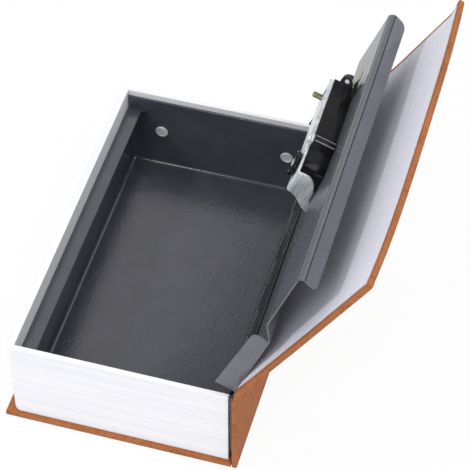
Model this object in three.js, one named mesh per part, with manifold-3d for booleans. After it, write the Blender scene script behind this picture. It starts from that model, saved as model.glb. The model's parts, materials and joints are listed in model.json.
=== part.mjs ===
// Book diversion safe: a sheet steel box with a stepped, hinged lid and a three-dial lock, cased in as a book.
// Millimetres, +Z up. The origin is the centre of the back cover's underside. +X points to the spine, +Y to
// the head of the book. It stands open: the lid and the front cover lean back over the spine.
import * as THREE from "three";
import { mergeVertices } from "three/addons/utils/BufferGeometryUtils.js";
import Module from "manifold-3d";

const wasm = await Module();
wasm.setup();

// The closed book
const book_length = 180;
const book_width = 115;
const book_height = 55;
const board = 2.5;
const end_overhang = 2;
const fore_overhang = 3.3;
const running_gap = 0.3;
const cut_overrun = 2;

// The covers' cloth joint and the paper inside the front cover
const cover_open_deg = 120.5;
const cloth = 0.8;
const cloth_split = 0.6;
const joint_width = 12;
const spine_board_drop = 0.6;
const lining = 0.4;
const lining_gap = 0.2;
const lining_margin = 3.5;

// The white shell that looks like the pages
const block_setback = 4.7;
const shell_end_wall = 2;
const shell_fore_wall = 3.7;
const shell_corner_radius = 4;

// The steel box
const sheet = 1;
const wall_drop = 3;
const ledge_width = 7.3;
const ledge_end_gap = 2;
const ledge_tab_length = 9;
const ledge_tab_depth = 1.4;
const ledge_tab_drop = 0.25;
const rivet_setback = 17.6;
const rivet_hinge_setback = 20.1;
const rivet_drop = 24;
const rivet_head_radius = 3.4;
const rivet_head_height = 1.1;
const rivet_flat_share = 0.67;
const rivet_crown_share = 0.17;
const rivet_edge_share = 0.7;
const rivet_shank_radius = 2;

// The piano hinge
const hinge_drop = 5.4;
const barrel_radius = 1.8;
const hinge_pin_radius = 0.8;
const leaf = 0.8;
const fixed_leaf_height = 14;
const moving_leaf_width = 16;
const knuckle_pitch = 16;
const knuckle_lead = 3.2;
const hinge_end_margin = 1.1;

// The stepped lid, measured from the hinge pin towards the free edge
const lid_open_deg = 110.7;
const lid_end_gap = 0.6;
const lid_edge_setback = 6.5;
const lid_sheet = 0.7;
const lid_channel_width = 39.5;
const lid_slope_run = 11.1;
const lid_step = 5.3;
const free_edge_gap = 0.6;
const free_flange_height = 9.4;
const free_flange_lean = 4.4;
const free_bend_radius = 2.6;
const flange_corner_radius = 3;
const step_bend_radius = 1.2;
const end_flange_depth = 8.7;
const end_flange_root_depth = 10.7;
const end_flange_taper = 0.7;
const end_flange_overrun = 1.1;
const end_flange_radius = 3.5;

// The dial lock under the lid
const lock_setback = 31.5;
const case_width = 16.5;
const case_height = 10.4;
const case_wall = 1.2;
const dial_case_start = 10.9;
const dial_case_end = 51;
const dial_partition = 39.5;
const cam_case_end = 10.6;
const cylinder_radius = 8.25;
const shoulder_width = 3.6;
const shoulder_start = 5.8;
const shoulder_chamfer = 1.6;
const ear_reach = 4.2;
const ear_radius = 3.2;
const ear_thickness = 2;
const ear_drop = 4.5;
const end_pin_radius = 1.2;
const end_pin_setback = 1.7;
const end_pin_proud = 0.4;

// The dials
const dial_radius = 6;
const dial_width = 4.5;
const dial_pitch = 7;
const dial_first = 18;
const dial_count = 3;
const dial_drop = 7.5;
const dial_flute_depth = 0.45;
const dial_shaft_radius = 1.2;
const detent_thickness = 0.4;
const detent_height = 5;
const detent_inset = 0.2;

// The bezel and the knob on the outer side
const bezel = 1.5;
const bezel_width = 13.4;
const bezel_end = 37.5;
const bezel_round_radius = 8.4;
const knob_radius = 6.5;
const knob_height = 5.5;
const knob_grip_width = 3.4;
const knob_grip_share = 0.9;
const knob_base_height = 2;
const spindle_radius = 1.8;
const spindle_head_radius = 3.2;
const retainer_radius = 6;
const retainer_height = 2.4;
const retainer_rim = 1.5;
const retainer_rim_depth = 0.7;

// The cam, the drive link and the latch bolt with its joggled, bevelled end
const knob_turn_deg = 60;
const crank = 5;
const crank_pin_radius = 1;
const cam_radius = 6.2;
const cam_thickness = 1.5;
const cam_clearance = 0.5;
const link = 1;
const link_width = 6;
const link_start = 2.4;
const bolt_thickness = 1.2;
const bolt_width = 5;
const bolt_reach = 23.2;
const bolt_joggle = 14;
const bolt_joggle_run = 2.5;
const bolt_bevel_run = 4.5;
const bolt_tip_thickness = 0.5;
const bolt_web = 1.2;
const bolt_centre = 46.7;
const latch_pin_radius = 1.5;
const latch_pin_length = 3.9;

// The zinc base plate with its bent leg
const plate = 1.2;
const plate_near = 9.9;
const plate_far = 50.5;
const plate_free_width = 7.6;
const plate_hinge_width = 6.2;
const plate_corner = 2;
const leg_free_reach = 6.7;
const leg_length = 22.7;
const leg_height = 14.7;
// The leg's outline: shares of its length, from the side nearer the free edge, and of its height above the plate
const leg_outline_shares = [
  [0.617, 0],
  [0.066, 0],
  [0.004, 0.17],
  [0, 0.3],
  [0.013, 0.422],
  [0.066, 0.544],
  [0.172, 0.66],
  [0.295, 0.735],
  [0.414, 0.776],
  [0.612, 0.776],
  [0.718, 0.837],
  [0.841, 0.925],
  [0.93, 0.993],
  [0.974, 1],
  [1, 0.946],
  [0.996, 0.871],
  [0.943, 0.721],
  [0.872, 0.599],
  [0.784, 0.469],
  [0.7, 0.327],
  [0.648, 0.163],
];
const plate_screw_radius = 1.1;
const plate_screw_head_radius = 2.2;
const plate_screw_head_height = 1.2;
const plate_screw_length = 5;
const screw_slot_width = 0.7;
const screw_slot_depth = 0.5;

// Steps of the round stretches
const round_steps = 32;
const small_round_steps = 20;
const bend_steps = 5;
const corner_steps = 8;
const dial_flutes = 10;

// Book levels and faces
const half_length = book_length / 2;
const spine_outer_x = book_width / 2;
const spine_inner_x = spine_outer_x - board;
const block_right_x = spine_outer_x - block_setback;
const block_left_x = fore_overhang - book_width / 2;
const block_end_y = half_length - end_overhang;
const rim_z = book_height - board - lining_gap - lining - running_gap;
const spine_top_z = rim_z - spine_board_drop;

// Box faces
const box_left_x = block_left_x + shell_fore_wall + running_gap;
const box_right_x = spine_inner_x - running_gap;
const box_end_y = block_end_y - shell_end_wall - running_gap;
const box_top_z = rim_z - wall_drop;

// The hinge pin's place, and the lid's levels above it when the lid is closed
const hinge_x = box_right_x - sheet - running_gap - barrel_radius;
const hinge_z = rim_z - hinge_drop;
const lid_top = leaf / 2 + running_gap + lid_sheet;
const channel_top = lid_top - lid_step;
const channel_under = channel_top - lid_sheet;
const lid_end_y = box_end_y - sheet - lid_end_gap;
const free_edge = hinge_x - block_left_x - shell_fore_wall - free_edge_gap;
const lid_upper_width = free_edge - lid_channel_width - lid_slope_run - lid_edge_setback;
const lock_distance = free_edge - lock_setback;
const ledge_top_z = hinge_z + channel_under - running_gap;

// Lock levels, seen with the lid closed
const case_top = channel_under - running_gap;
const case_bottom = case_top - case_height;
const plate_top = case_bottom - running_gap;
const plate_bottom = plate_top - plate;
const bezel_bottom = channel_top + running_gap;
const bezel_top = bezel_bottom + bezel;
const knob_bottom = bezel_top + running_gap;
const link_top = case_bottom + link + running_gap / 3;
const link_bottom = link_top - link;
const cam_bottom = link_top + cam_clearance;
const cam_top = cam_bottom + cam_thickness;
const bolt_top = channel_under - sheet - running_gap * 2;

// The crank pin's two places and the travel that they give the bolt
const half_turn = THREE.MathUtils.degToRad(knob_turn_deg / 2);
const bolt_travel = 2 * crank * Math.sin(half_turn);
const crank_y = crank * Math.cos(half_turn);
const link_rest = -bolt_travel / 2;

const finish = (color, roughness, metalness) => new THREE.MeshStandardMaterial({ color, roughness, metalness });
const bookcloth = finish(0xb86a42, 0.62, 0);
const page_white = finish(0xf4f4f8, 0.7, 0);
const lining_paper = finish(0xdcdce8, 0.8, 0);
const charcoal = finish(0x55565d, 0.45, 0.35);
const lid_charcoal = finish(0x6c6d75, 0.42, 0.35);
const hinge_steel = finish(0x3f4045, 0.4, 0.5);
const black_plastic = finish(0x1c1c20, 0.4, 0);
const zinc = finish(0xb4bcc4, 0.28, 0.95);
const yellow_zinc = finish(0xc0b878, 0.3, 0.9);
const chrome = finish(0xc8ccd0, 0.15, 1);
const dial_black = finish(0x26262a, 0.38, 0.1);

// Solids for cutting and joining

function solid(geometry) {
  const bare = geometry.clone();
  bare.deleteAttribute("normal");
  bare.deleteAttribute("uv");
  const merged = mergeVertices(bare, 1e-4);
  return new wasm.Manifold(
    new wasm.Mesh({
      numProp: 3,
      vertProperties: merged.attributes.position.array,
      triVerts: new Uint32Array(merged.index.array),
    }),
  );
}

function geometryOf(body) {
  const mesh = body.getMesh();
  const geometry = new THREE.BufferGeometry();
  geometry.setAttribute("position", new THREE.BufferAttribute(new Float32Array(mesh.vertProperties), 3));
  geometry.setIndex(new THREE.BufferAttribute(new Uint32Array(mesh.triVerts), 1));
  geometry.computeVertexNormals();
  return geometry;
}

function shaped(parts, cutters = []) {
  let body = solid(parts[0]);
  for (const part of parts.slice(1)) body = body.add(solid(part));
  for (const cutter of cutters) body = body.subtract(solid(cutter));
  return geometryOf(body);
}

// A box between two values on each axis
function block(x0, x1, y0, y1, z0, z1) {
  return new THREE.BoxGeometry(x1 - x0, y1 - y0, z1 - z0).translate((x0 + x1) / 2, (y0 + y1) / 2, (z0 + z1) / 2);
}

// An outline in X and Z, drawn out along Y
function alongY(points, y0, y1) {
  const shape = new THREE.Shape(points.map(([x, z]) => new THREE.Vector2(x, z)));
  const made = new THREE.ExtrudeGeometry(shape, { depth: y1 - y0, bevelEnabled: false });
  return made.rotateX(Math.PI / 2).translate(0, y1, 0);
}

// An outline in X and Y, drawn out along Z
function alongZ(points, z0, z1) {
  const shape = new THREE.Shape(points.map(([x, y]) => new THREE.Vector2(x, y)));
  return new THREE.ExtrudeGeometry(shape, { depth: z1 - z0, bevelEnabled: false }).translate(0, 0, z0);
}

// An outline in Y and Z, drawn out along X
function alongX(points, x0, x1) {
  const shape = new THREE.Shape(points.map(([y, z]) => new THREE.Vector2(y, z)));
  const made = new THREE.ExtrudeGeometry(shape, { depth: x1 - x0, bevelEnabled: false });
  return made.rotateX(Math.PI / 2).rotateZ(Math.PI / 2).translate(x0, 0, 0);
}

function rodX(radius, y, z, x0, x1, steps = small_round_steps) {
  const made = new THREE.CylinderGeometry(radius, radius, x1 - x0, steps).rotateZ(Math.PI / 2);
  return made.translate((x0 + x1) / 2, y, z);
}

function rodY(radius, x, z, y0, y1, steps = small_round_steps) {
  return new THREE.CylinderGeometry(radius, radius, y1 - y0, steps).translate(x, (y0 + y1) / 2, z);
}

function rodZ(radius, x, y, z0, z1, steps = small_round_steps) {
  const made = new THREE.CylinderGeometry(radius, radius, z1 - z0, steps).rotateX(Math.PI / 2);
  return made.translate(x, y, (z0 + z1) / 2);
}

// The points of a circular arc about a centre, from one angle to another
function arc(cx, cy, radius, from, to, steps) {
  const points = [];
  for (let i = 0; i <= steps; i++) {
    const angle = from + ((to - from) * i) / steps;
    points.push([cx + radius * Math.cos(angle), cy + radius * Math.sin(angle)]);
  }
  return points;
}

// A bent line with each inner corner rounded to its radius
function rounded(points, radii) {
  const out = [points[0]];
  for (let i = 1; i < points.length - 1; i++) {
    const [a, p, b] = [points[i - 1], points[i], points[i + 1]].map(([x, y]) => new THREE.Vector2(x, y));
    const to_a = a.clone().sub(p).normalize();
    const to_b = b.clone().sub(p).normalize();
    const half = Math.acos(to_a.dot(to_b)) / 2;
    const reach = radii[i - 1] / Math.tan(half);
    const centre = to_a.clone().add(to_b).normalize().multiplyScalar(radii[i - 1] / Math.sin(half)).add(p);
    const start = to_a.multiplyScalar(reach).add(p).sub(centre);
    const end = to_b.multiplyScalar(reach).add(p).sub(centre);
    let swing = end.angle() - start.angle();
    if (swing > Math.PI) swing -= 2 * Math.PI;
    if (swing < -Math.PI) swing += 2 * Math.PI;
    out.push(...arc(centre.x, centre.y, radii[i - 1], start.angle(), start.angle() + swing, bend_steps));
  }
  out.push(points[points.length - 1]);
  return out;
}

// The outline of a sheet of even thickness whose one face follows a line, the body on the line's right
function sheetOutline(line, thickness) {
  const other = line.map(([x, y], i) => {
    const before = new THREE.Vector2(...line[Math.max(i - 1, 0)]);
    const after = new THREE.Vector2(...line[Math.min(i + 1, line.length - 1)]);
    const here = new THREE.Vector2(x, y);
    const arriving = i ? here.clone().sub(before).normalize() : after.clone().sub(here).normalize();
    const leaving = i < line.length - 1 ? after.clone().sub(here).normalize() : arriving;
    const along = arriving.clone().add(leaving).normalize();
    const width = thickness / along.dot(arriving);
    return [x + along.y * width, y - along.x * width];
  });
  return [...line, ...other.reverse()];
}

// The book's covers

function backCoverBoard() {
  return block(-spine_outer_x, box_right_x, -half_length, half_length, 0, board);
}

function spineBoard() {
  return block(spine_inner_x, spine_outer_x, -half_length, half_length, 0, spine_top_z);
}

// The cloth that carries on above the spine board, up to the line where the front cover turns
function spineHingeCloth() {
  const top = book_height - cloth / 2 - cloth_split;
  return block(spine_outer_x - cloth, spine_outer_x, -half_length, half_length, spine_top_z, top);
}

// The front cover lies closed in its own frame, with its turning line on the origin
function frontCoverBoard() {
  const far = book_width - cloth / 2;
  return block(-far, -joint_width, -half_length, half_length, cloth / 2 - board, cloth / 2);
}

function coverHingeCloth() {
  const inner = joint_width - running_gap;
  return block(-inner, -cloth_split, -half_length, half_length, -cloth / 2, cloth / 2);
}

function frontCoverLining() {
  const top = cloth / 2 - board - lining_gap;
  const far = book_width - cloth / 2 - lining_margin;
  const near = joint_width + lining_margin;
  const end = half_length - lining_margin;
  return block(-far, -near, -end, end, top - lining, top);
}

// The white shell on the tail, the fore edge and the head, with rounded upright corners

function shellOutline() {
  const r = shell_corner_radius;
  const quarter = Math.PI / 2;
  const inner_x = block_left_x + shell_fore_wall;
  const inner_y = block_end_y - shell_end_wall;
  return [
    [block_right_x, block_end_y],
    ...arc(block_left_x + r, block_end_y - r, r, quarter, 2 * quarter, corner_steps),
    ...arc(block_left_x + r, r - block_end_y, r, 2 * quarter, 3 * quarter, corner_steps),
    [block_right_x, -block_end_y],
    [block_right_x, -inner_y],
    [inner_x, -inner_y],
    [inner_x, inner_y],
    [block_right_x, inner_y],
  ];
}

function pageBlockShell() {
  return shaped([alongZ(shellOutline(), board, rim_z)], rivetPlaces().map(([x, side]) => rivetBore(x, side)));
}

// The steel box, with the ledge that the closed lid rests on along its left wall

function steelBox() {
  const x0 = box_left_x;
  const x1 = box_right_x;
  const y = box_end_y;
  const floor = block(x0, x1, -y, y, board, board + sheet);
  const left = block(x0, x0 + sheet, -y, y, board, ledge_top_z);
  const ledge_y = y - ledge_end_gap;
  const ledge = block(x0, x0 + ledge_width, -ledge_y, ledge_y, ledge_top_z - sheet, ledge_top_z);
  const right = block(x1 - sheet, x1, -y, y, board, box_top_z);
  const tail = block(x0, x1, -y, sheet - y, board, box_top_z);
  const head = block(x0, x1, y - sheet, y, board, box_top_z);
  const inside = y - sheet;
  const tab_y = inside - ledge_tab_depth;
  const tab_z = ledge_top_z - ledge_tab_drop;
  const tab = block(x0, x0 + ledge_tab_length, tab_y, inside + sheet / 2, tab_z - sheet / 2, tab_z);
  return shaped(
    [floor, left, ledge, right, tail, head, tab],
    rivetPlaces().map(([rx, side]) => rivetBore(rx, side)),
  );
}

// Two rivets in each end wall hold the shell to the box
function rivetPlaces() {
  const near = box_left_x + rivet_setback;
  const far = box_right_x - rivet_hinge_setback;
  const places = [];
  for (const side of [-1, 1]) places.push([near, side], [far, side]);
  return places;
}

function rivetBore(x, side) {
  const radius = rivet_shank_radius + running_gap;
  const low = box_end_y - sheet - cut_overrun;
  const high = block_end_y - shell_end_wall / 2;
  const [y0, y1] = side > 0 ? [low, high] : [-high, -low];
  return rodY(radius, x, rim_z - rivet_drop, y0, y1);
}

function shellRivet(x, side) {
  const inner = box_end_y - sheet - running_gap;
  const end = block_end_y - shell_end_wall / 2 - running_gap;
  const crown = inner - rivet_head_height;
  const profile = [
    new THREE.Vector2(0, 0),
    new THREE.Vector2(rivet_head_radius * rivet_flat_share, rivet_head_height * rivet_crown_share),
    new THREE.Vector2(rivet_head_radius, rivet_head_height * rivet_edge_share),
    new THREE.Vector2(rivet_head_radius, rivet_head_height),
    new THREE.Vector2(rivet_shank_radius, rivet_head_height),
    new THREE.Vector2(rivet_shank_radius, end - crown),
    new THREE.Vector2(0, end - crown),
  ];
  const made = new THREE.LatheGeometry(profile, small_round_steps).translate(0, crown, 0);
  if (side < 0) made.rotateZ(Math.PI);
  return made.translate(x, 0, rim_z - rivet_drop);
}

// The piano hinge. Its knuckles alternate along the pin. The first is longer by the lead that the strip was cut
// to, and the last one is cut short with the strip.

function knuckleSpans(first) {
  const end = lid_end_y - hinge_end_margin;
  const start = knuckle_lead - end;
  const spans = [];
  for (let i = first; start + i * knuckle_pitch < end; i += 2) {
    const y0 = start + i * knuckle_pitch;
    spans.push([i ? y0 : -end, Math.min(y0 + knuckle_pitch, end)]);
  }
  return spans;
}

function knuckledLeaf(plate_body, x, z, first) {
  const half_gap = running_gap / 2;
  const own = knuckleSpans(first);
  const others = knuckleSpans(1 - first);
  const end = lid_end_y - hinge_end_margin;
  const tubes = own.map(([y0, y1]) => rodY(barrel_radius, x, z, y0 + half_gap, y1 - half_gap));
  const clear = barrel_radius + running_gap;
  const cuts = others.map(([y0, y1]) => rodY(clear, x, z, y0 - half_gap, y1 + half_gap));
  const bore = rodY(hinge_pin_radius + running_gap, x, z, -end - cut_overrun, end + cut_overrun);
  return shaped([plate_body, ...tubes], [...cuts, bore]);
}

function hingeFixedLeaf() {
  const end = lid_end_y - hinge_end_margin;
  const face = hinge_x + barrel_radius;
  const body = block(face - leaf, face, -end, end, hinge_z - fixed_leaf_height, hinge_z);
  return knuckledLeaf(body, hinge_x, hinge_z, 0);
}

function hingeMovingLeaf() {
  const end = lid_end_y - hinge_end_margin;
  return knuckledLeaf(block(-moving_leaf_width, 0, -end, end, -leaf / 2, leaf / 2), 0, 0, 1);
}

function hingePin() {
  const end = lid_end_y - hinge_end_margin;
  return rodY(hinge_pin_radius, hinge_x, hinge_z, -end, end);
}

// The lid, drawn closed with the hinge pin on the origin. Its upper strip runs from the hinge, a slope steps
// down to the channel, and the free edge turns up again. Both ends of the upper strip turn down as flanges.

function lidTopLine() {
  const upper_end = lid_edge_setback + lid_upper_width;
  const slope_end = upper_end + lid_slope_run;
  const flange_top = channel_under + free_flange_height;
  return rounded(
    [
      [-lid_edge_setback, lid_top],
      [-upper_end, lid_top],
      [-slope_end, channel_top],
      [lid_sheet - free_edge, channel_top],
      [lid_sheet + free_flange_lean - free_edge, flange_top],
    ],
    [step_bend_radius, step_bend_radius, free_bend_radius - lid_sheet],
  );
}

function endFlange(y0, y1) {
  const low = lid_top - end_flange_depth;
  const far = lid_edge_setback + lid_upper_width + end_flange_overrun;
  const r = end_flange_radius;
  const quarter = Math.PI / 2;
  const outline = [
    [-lid_edge_setback, lid_top - lid_sheet / 2],
    [-lid_edge_setback - end_flange_taper, lid_top - end_flange_root_depth],
    ...arc(r - far, low + r, r, 3 * quarter, 2 * quarter, bend_steps),
    [-lid_edge_setback - lid_upper_width, lid_top - lid_sheet / 2],
  ];
  return alongY(outline, y0, y1);
}

function lidCuts() {
  const low = channel_under - cut_overrun;
  const high = channel_top + cut_overrun;
  const cuts = dialCentres().map((y) => dialSlot(y, channel_under, low, high));
  cuts.push(rodZ(spindle_radius + running_gap, -lock_distance, 0, low, high));
  return [...cuts, ...flangeCornerCuts()];
}

// What rounds the two top corners of the free edge's flange
function flangeCornerCuts() {
  const r = flange_corner_radius;
  const top = channel_under + free_flange_height;
  const quarter = Math.PI / 2;
  return [-1, 1].map((side) => {
    const corner_y = side * (lid_end_y - r);
    const out_y = side * (lid_end_y + cut_overrun);
    const outline = [
      ...arc(corner_y, top - r, r, quarter - side * quarter, quarter, corner_steps),
      [corner_y, top + cut_overrun],
      [out_y, top + cut_overrun],
      [out_y, top - r],
    ];
    return alongX(outline, -free_edge - cut_overrun, free_flange_lean + cut_overrun - free_edge);
  });
}

function steelLid() {
  const body = alongY(sheetOutline(lidTopLine(), -lid_sheet), -lid_end_y, lid_end_y);
  const flanges = [endFlange(-lid_end_y, lid_sheet - lid_end_y), endFlange(lid_end_y - lid_sheet, lid_end_y)];
  return shaped([body, ...flanges], lidCuts());
}

// The lock lies under the channel in the lid's frame, with its knob on Y zero

function dialCentres() {
  return Array.from({ length: dial_count }, (_, i) => dial_first + i * dial_pitch);
}

// A slot for a dial, wide enough for the dial's chord at one level
function dialSlot(y, level, z0, z1) {
  const half = Math.sqrt(dial_radius ** 2 - (dial_drop + level) ** 2) + running_gap * 2;
  const side = dial_width / 2 + running_gap;
  return block(-lock_distance - half, half - lock_distance, y - side, y + side, z0, z1);
}

// The room that the drive link needs through a case wall
function linkNotch(y0, y1) {
  const half = (link_width + bolt_travel) / 2 + running_gap;
  const low = case_bottom - cut_overrun;
  return block(-lock_distance - half, half - lock_distance, y0, y1, low, link_top + running_gap);
}

function dialCase() {
  const x = -lock_distance;
  const half = case_width / 2;
  const inner = half - case_wall;
  const inside_y = dial_case_start + case_wall;
  const low = case_bottom - cut_overrun;
  const roof = case_top - case_wall;
  const shell = block(x - half, x + half, dial_case_start, dial_case_end, case_bottom, case_top);
  const ear_z = case_top - ear_drop;
  const ear_start = dial_case_end - case_wall;
  const quarter = Math.PI / 2;
  const ear_outline = [
    [ear_start, ear_z - ear_radius],
    ...arc(dial_case_end + ear_reach - ear_radius, ear_z, ear_radius, -quarter, quarter, 2 * bend_steps),
    [ear_start, ear_z + ear_radius],
  ];
  const ears = [alongX(ear_outline, x - half, x - half + ear_thickness)];
  ears.push(alongX(ear_outline, x + half - ear_thickness, x + half));
  const dial_room = block(x - inner, x + inner, inside_y, dial_partition, low, roof);
  const latch_start = dial_partition + case_wall;
  const latch_room = block(x - inner, x + inner, latch_start, dial_case_end - case_wall, low, roof);
  const shaft_end = latch_start + cut_overrun;
  const shaft = rodY(dial_shaft_radius + running_gap, x, -dial_drop, dial_case_start - cut_overrun, shaft_end);
  const side = bolt_width / 2 + running_gap;
  const mouth_low = case_top - bolt_thickness - running_gap;
  const mouth_end = x - half - cut_overrun;
  const web_end = x - link_rest - link_width / 4 + bolt_web + running_gap;
  const [near, far] = [bolt_centre - side, bolt_centre + side];
  const mouth = block(mouth_end, web_end, near, far, mouth_low, case_top + cut_overrun);
  const pin_reach = half + cut_overrun;
  const pin_bore = rodX(end_pin_radius + running_gap, endPinY(), ear_z, x - pin_reach, x + pin_reach);
  const slots = dialCentres().map((y) => dialSlot(y, roof, roof - cut_overrun, case_top + cut_overrun));
  const notch = linkNotch(dial_case_start - cut_overrun, bolt_centre);
  return shaped([shell, ...ears], [dial_room, latch_room, shaft, mouth, pin_bore, notch, ...slots]);
}

// The pin through the two ears at the dial case's far end
function endPinY() {
  return dial_case_end + end_pin_setback;
}

function caseEndPin() {
  const reach = case_width / 2 + end_pin_proud;
  const z = case_top - ear_drop;
  return rodX(end_pin_radius, endPinY(), z, -lock_distance - reach, reach - lock_distance);
}

// The rounded case round the knob's spindle, with a shoulder that takes a screw
function camCase() {
  const x = -lock_distance;
  const r = cylinder_radius;
  const out = r + shoulder_width;
  const low = case_bottom - cut_overrun;
  const roof = case_top - case_wall;
  const outline = [
    [x + r, cam_case_end],
    [x - out, cam_case_end],
    [x - out, shoulder_start + shoulder_chamfer],
    [x - r, shoulder_start],
    ...arc(x, 0, r, Math.PI, 2 * Math.PI, round_steps / 2),
  ];
  const room = r - case_wall;
  const round_room = rodZ(room, x, 0, low, roof, round_steps);
  const link_room = block(x - room, x + room, 0, cam_case_end - case_wall, low, roof);
  const spindle = rodZ(spindle_radius + running_gap, x, 0, low, case_top + cut_overrun);
  const [screw_x, screw_y] = platePlaces()[0];
  const thread = plate_screw_radius + running_gap;
  const screw_top = plate_bottom + plate_screw_length + running_gap;
  const screw = rodZ(thread, screw_x, screw_y, low, screw_top);
  const notch = linkNotch(link_start, cam_case_end + cut_overrun);
  return shaped([alongZ(outline, case_bottom, case_top)], [round_room, link_room, spindle, screw, notch]);
}

// The base plate's screw goes into the cam case's shoulder
function platePlaces() {
  const shoulder_x = -lock_distance - cylinder_radius - shoulder_width / 3;
  const shoulder_y = (shoulder_start + shoulder_chamfer + cam_case_end) / 2;
  return [[shoulder_x, shoulder_y]];
}

function legPoint([along, height]) {
  return [along * leg_length - leg_free_reach - lock_distance, plate_bottom + height * leg_height];
}

function lockBasePlate() {
  const x = -lock_distance;
  const [screw_x, screw_y] = platePlaces()[0];
  const ear = screw_x - plate_screw_head_radius - plate / 2;
  const [[near_hinge], [near_free]] = leg_outline_shares.map(legPoint);
  const outline = [
    [near_free, -plate_near],
    [near_hinge, -plate_near],
    [x + plate_hinge_width, 0],
    [x + plate_hinge_width, plate_far - plate_corner],
    [x, plate_far],
    [x - plate_free_width, plate_far],
    [x - plate_free_width, cam_case_end],
    [ear, cam_case_end],
    [ear, shoulder_start],
    [x - plate_free_width, shoulder_start],
    [x - plate_free_width, 0],
  ];
  const low = plate_bottom - cut_overrun;
  const high = plate_top + cut_overrun;
  const leg = alongY(leg_outline_shares.map(legPoint), -plate_near, plate - plate_near);
  const spindle = rodZ(spindle_radius + running_gap, x, 0, low, high);
  const screw = rodZ(plate_screw_radius + running_gap, screw_x, screw_y, low, high);
  const reach = latch_pin_radius + running_gap;
  const half = bolt_travel / 2 + reach;
  const pin_slot = block(x - half, x + half, bolt_centre - reach, bolt_centre + reach, low, high);
  return shaped([alongZ(outline, plate_bottom, plate_top), leg], [spindle, screw, pin_slot]);
}

function plateScrew([x, y]) {
  const head_top = plate_bottom - running_gap;
  const head_bottom = head_top - plate_screw_head_height;
  const head = rodZ(plate_screw_head_radius, x, y, head_bottom, head_top);
  const shank = rodZ(plate_screw_radius, x, y, head_top, plate_bottom + plate_screw_length);
  const half = screw_slot_width / 2;
  const reach = plate_screw_head_radius + cut_overrun;
  const slot_low = head_bottom - cut_overrun;
  const slot = block(x - reach, x + reach, y - half, y + half, slot_low, head_bottom + screw_slot_depth);
  return shaped([head, shank], [slot]);
}

function lockBezel() {
  const x = -lock_distance;
  const half = bezel_width / 2;
  const start = Math.asin(half / bezel_round_radius);
  const quarter = Math.PI / 2;
  const outline = [
    [x + half, bezel_end],
    [x - half, bezel_end],
    ...arc(x, 0, bezel_round_radius, quarter + start, 5 * quarter - start, round_steps),
  ];
  const low = bezel_bottom - cut_overrun;
  const high = bezel_top + cut_overrun;
  const cuts = dialCentres().map((y) => dialSlot(y, bezel_bottom, low, high));
  cuts.push(rodZ(spindle_radius + running_gap, x, 0, low, high));
  return shaped([alongZ(outline, bezel_bottom, bezel_top)], cuts);
}

// The dials turn on a shaft along the lock

function dialWheel(y) {
  const half = dial_width / 2;
  const wheel = rodY(dial_radius, -lock_distance, -dial_drop, y - half, y + half, dial_flutes * 4);
  const cuts = [];
  for (let i = 0; i < dial_flutes; i++) {
    const angle = ((i + 0.5) / dial_flutes) * 2 * Math.PI;
    const reach = dial_radius + dial_flute_depth;
    const x = -lock_distance + reach * Math.cos(angle);
    const z = -dial_drop + reach * Math.sin(angle);
    cuts.push(rodY(dial_flute_depth * 2, x, z, y - half - cut_overrun, y + half + cut_overrun, corner_steps));
  }
  const bore_end = half + cut_overrun;
  cuts.push(rodY(dial_shaft_radius + running_gap, -lock_distance, -dial_drop, y - bore_end, y + bore_end));
  return shaped([wheel], cuts);
}

function dialShaft() {
  const end = dial_partition + case_wall;
  return rodY(dial_shaft_radius, -lock_distance, -dial_drop, dial_case_start, end);
}

function dialDetentSpring() {
  const inner = -lock_distance + case_width / 2 - case_wall - detent_inset;
  const high = case_top - case_wall - running_gap;
  const y0 = dial_case_start + case_wall + running_gap;
  return block(inner - detent_thickness, inner, y0, dial_partition - running_gap, high - detent_height, high);
}

// The knob, its spindle, the cam with its crank pin, and the disc that holds the spindle from behind

function knob() {
  const x = -lock_distance;
  const half = knob_grip_width / 2;
  const mid = knob_bottom + knob_base_height;
  const high = knob_bottom + knob_height;
  const base = rodZ(knob_radius, x, 0, knob_bottom, mid, round_steps);
  const reach = knob_radius * knob_grip_share;
  const grip = block(x - half, x + half, -reach, reach, mid - knob_base_height / 2, high);
  const seat = rodZ(spindle_radius + running_gap, x, 0, knob_bottom - cut_overrun, mid);
  return shaped([base, grip], [seat]);
}

function spindle() {
  const x = -lock_distance;
  const top = knob_bottom + knob_base_height - running_gap;
  const low = plate_bottom - running_gap - retainer_height;
  const collar_top = case_top - case_wall - running_gap;
  const collar = rodZ(spindle_head_radius, x, 0, collar_top - cam_thickness, collar_top);
  return shaped([rodZ(spindle_radius, x, 0, low, top), collar]);
}

function driveCam() {
  const x = -lock_distance;
  const crank_x = x - link_rest;
  const disc = rodZ(cam_radius, x, 0, cam_bottom, cam_top, round_steps);
  const pin = rodZ(crank_pin_radius, crank_x, crank_y, link_bottom, cam_bottom + cam_thickness / 2);
  const bore = rodZ(spindle_radius + running_gap, x, 0, cam_bottom - cut_overrun, cam_top + cut_overrun);
  return shaped([disc, pin], [bore]);
}

function spindleRetainer() {
  const x = -lock_distance;
  const high = plate_bottom - running_gap;
  const low = high - retainer_height;
  const disc = rodZ(retainer_radius, x, 0, low, high, round_steps);
  const bore = rodZ(spindle_radius + running_gap, x, 0, low - cut_overrun, high + cut_overrun);
  const dish = rodZ(retainer_radius - retainer_rim, x, 0, low - cut_overrun, low + retainer_rim_depth, round_steps);
  return shaped([disc], [bore, dish]);
}

// The latch bolt: a link from the crank pin to the far end, a web up to the lid, and an arm that steps down to a
// bevelled tip, which slides under the ledge. It stands drawn back.

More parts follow.
